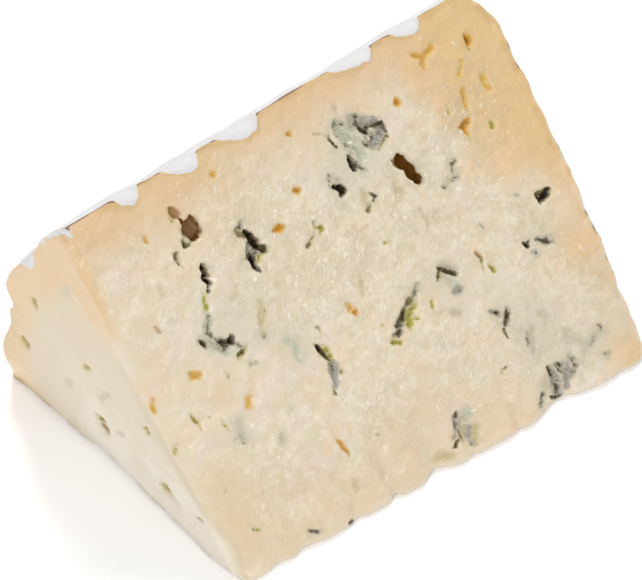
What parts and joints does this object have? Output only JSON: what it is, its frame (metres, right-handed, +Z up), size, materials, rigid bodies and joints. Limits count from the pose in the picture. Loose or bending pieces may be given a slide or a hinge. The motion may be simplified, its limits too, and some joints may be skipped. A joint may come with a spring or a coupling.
{
  "type": "blue cheese wedge",
  "caption": "Wedge of blue-veined cheese lying on a cut face, with a curved bloomy rind along its back and mould pockets in its cut faces.",
  "frame": {"origin": "middle of the bounding box in plan, on the surface the wedge lies on", "axes": "+X along the thin edge from the plain cut end to the flat rind end, +Y from the thin edge towards the curved rind, +Z up"},
  "size_m": [0.1006, 0.0812, 0.0622],
  "materials": {
    "paste": "soft ripened cheese, slightly greasy"
  },
  "bodies": {
    "root": {"wedge": "paste"}
  },
  "joints": []
}
